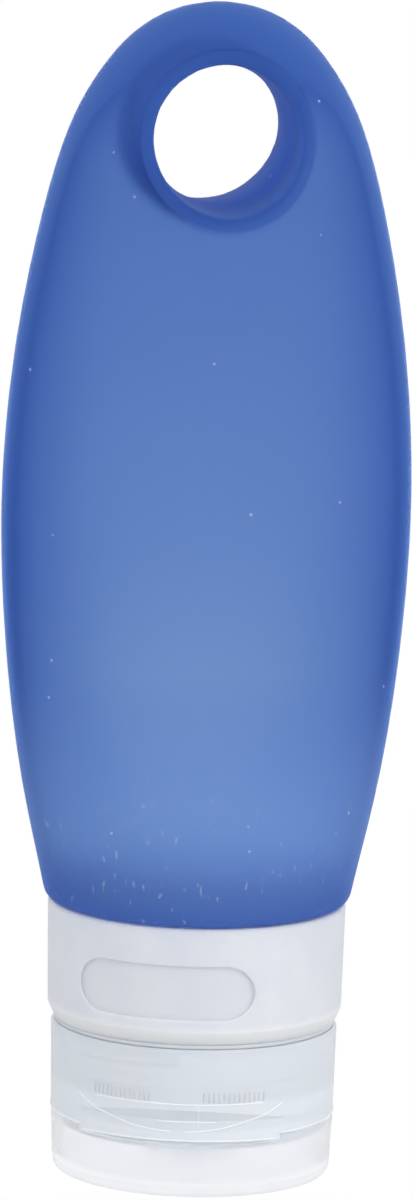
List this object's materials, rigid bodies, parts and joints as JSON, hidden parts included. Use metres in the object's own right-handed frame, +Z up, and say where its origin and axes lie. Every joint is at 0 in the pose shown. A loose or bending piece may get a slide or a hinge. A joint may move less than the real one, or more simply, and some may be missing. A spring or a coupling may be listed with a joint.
{
  "type": "travel silicone bottle",
  "caption": "Squeezable silicone travel bottle that stands on its flip-top closure, with a turning window collar at the neck and a hanging loop moulded through its flattened top.",
  "frame": {"origin": "middle of the lid's flat resting face", "axes": "+Z up along the bottle from the lid to the loop, the body's wide side faces -Y, and X runs across its width"},
  "size_m": [0.0526, 0.0399, 0.15],
  "materials": {
    "silicone_body": "matte translucent",
    "frosted_plastic": "frosted translucent",
    "cap_plastic": "satin translucent",
    "valve_silicone": "matte translucent",
    "clear_plastic": "clear, lightly frosted"
  },
  "bodies": {
    "bottle": {"bottle_body": "silicone_body", "neck_ring": "frosted_plastic", "label_band": "frosted_plastic"},
    "collar": {"id_collar": "frosted_plastic"},
    "valve_disc": {"valve": "valve_silicone"},
    "closure": {"cap_base": "cap_plastic", "valve_retainer": "cap_plastic"},
    "lid": {"flip_lid": "clear_plastic"}
  },
  "joints": [
    {"name": "collar_turn", "type": "hinge", "parent": "bottle", "child": "collar", "pos_m": [0, 0, 0.0275], "axis": [0, 0, 1], "continuous": true},
    {"name": "cap_travel", "type": "slide", "parent": "bottle", "child": "valve_disc", "axis": [0, 0, -1], "range_m": [0, 0.0045]},
    {"name": "cap_unscrew", "type": "hinge", "parent": "valve_disc", "child": "closure", "pos_m": [0, 0, 0.0137], "axis": [0, 0, -1], "range_deg": [0, 540]},
    {"name": "lid_flip", "type": "hinge", "parent": "closure", "child": "lid", "pos_m": [0.0059, 0.01764, 0.0079], "axis": [0.9483, -0.3173, 0], "range_deg": [0, 165]}
  ],
  "couplings": [
    {"joint": "cap_travel", "follows": "cap_unscrew", "m_per_rad": 0.00047746}
  ]
}
